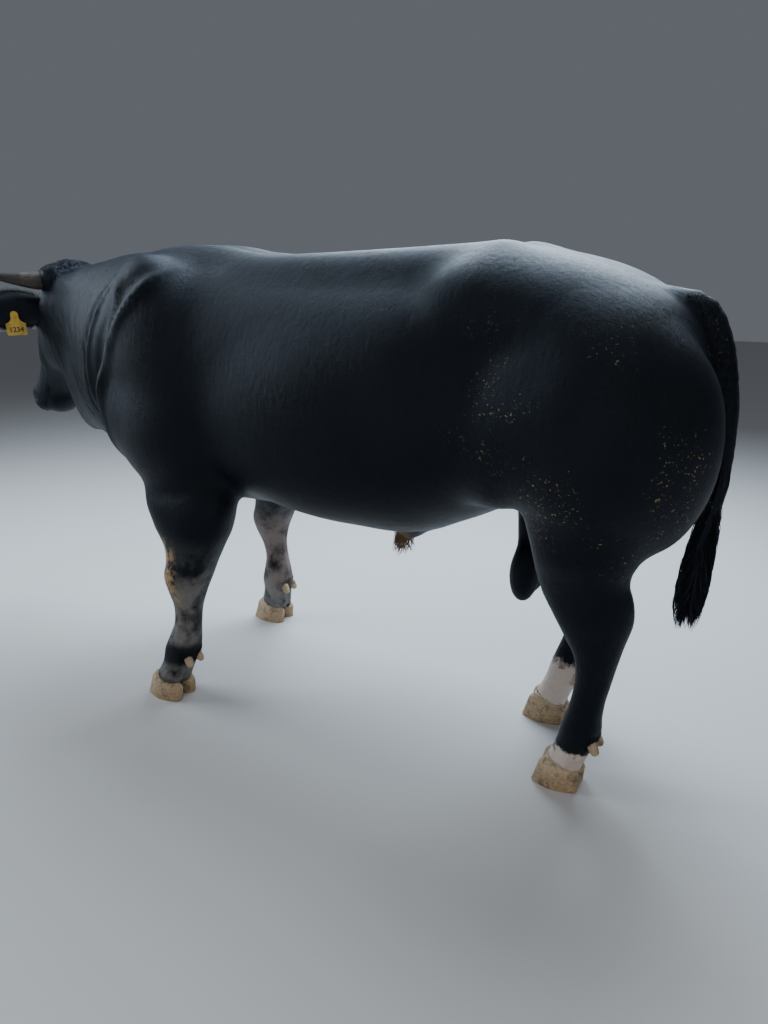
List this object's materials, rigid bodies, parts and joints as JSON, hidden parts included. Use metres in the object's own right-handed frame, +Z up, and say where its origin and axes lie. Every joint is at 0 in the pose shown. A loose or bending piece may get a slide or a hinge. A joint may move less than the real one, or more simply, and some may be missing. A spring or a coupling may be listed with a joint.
{
  "type": "belgian blue bull",
  "caption": "Standing life-size model of a horned, heavily muscled black beef bull with cloven hooves, cupped ears wearing flag tags, and a tufted tail, head slightly lowered.",
  "frame": {"origin": "on the floor under the middle of the whole animal, muzzle to tail and side to side", "axes": "-X towards the head, +X towards the tail, -Y the animal's left side, +Z up"},
  "size_m": [2.6392, 0.7784, 1.4642],
  "materials": {
    "coat": "short glossy near-black hair over skin",
    "wet_eye": "wet dark brown eye",
    "horn": "dark grey-brown horn, faintly ringed and worn",
    "hoof": "tan and grey hoof horn, dusty",
    "tag": "soft yellow plastic with plain dark numbers"
  },
  "bodies": {
    "root": {"claw_fore_inner_left": "hoof", "claw_fore_inner_right": "hoof", "claw_fore_outer_left": "hoof", "claw_fore_outer_right": "hoof", "claw_hind_inner_left": "hoof", "claw_hind_inner_right": "hoof", "claw_hind_outer_left": "hoof", "claw_hind_outer_right": "hoof", "dewclaw_fore_inner_left": "hoof", "dewclaw_fore_inner_right": "hoof", "dewclaw_fore_outer_left": "hoof", "dewclaw_fore_outer_right": "hoof", "dewclaw_hind_inner_left": "hoof", "dewclaw_hind_inner_right": "hoof", "dewclaw_hind_outer_left": "hoof", "dewclaw_hind_outer_right": "hoof", "ear_left": "coat", "ear_right": "coat", "eye_left": "wet_eye", "eye_right": "wet_eye", "fore_leg_left": "coat", "fore_leg_right": "coat", "head": "coat", "hind_leg_left": "coat", "hind_leg_right": "coat", "horn_left": "horn", "horn_right": "horn", "neck": "coat", "scrotum": "coat", "sheath": "coat", "tag_left": "tag", "tag_right": "tag", "tail": "coat", "tail_root": "coat", "tail_switch": "coat", "torso": "coat"}
  },
  "joints": []
}
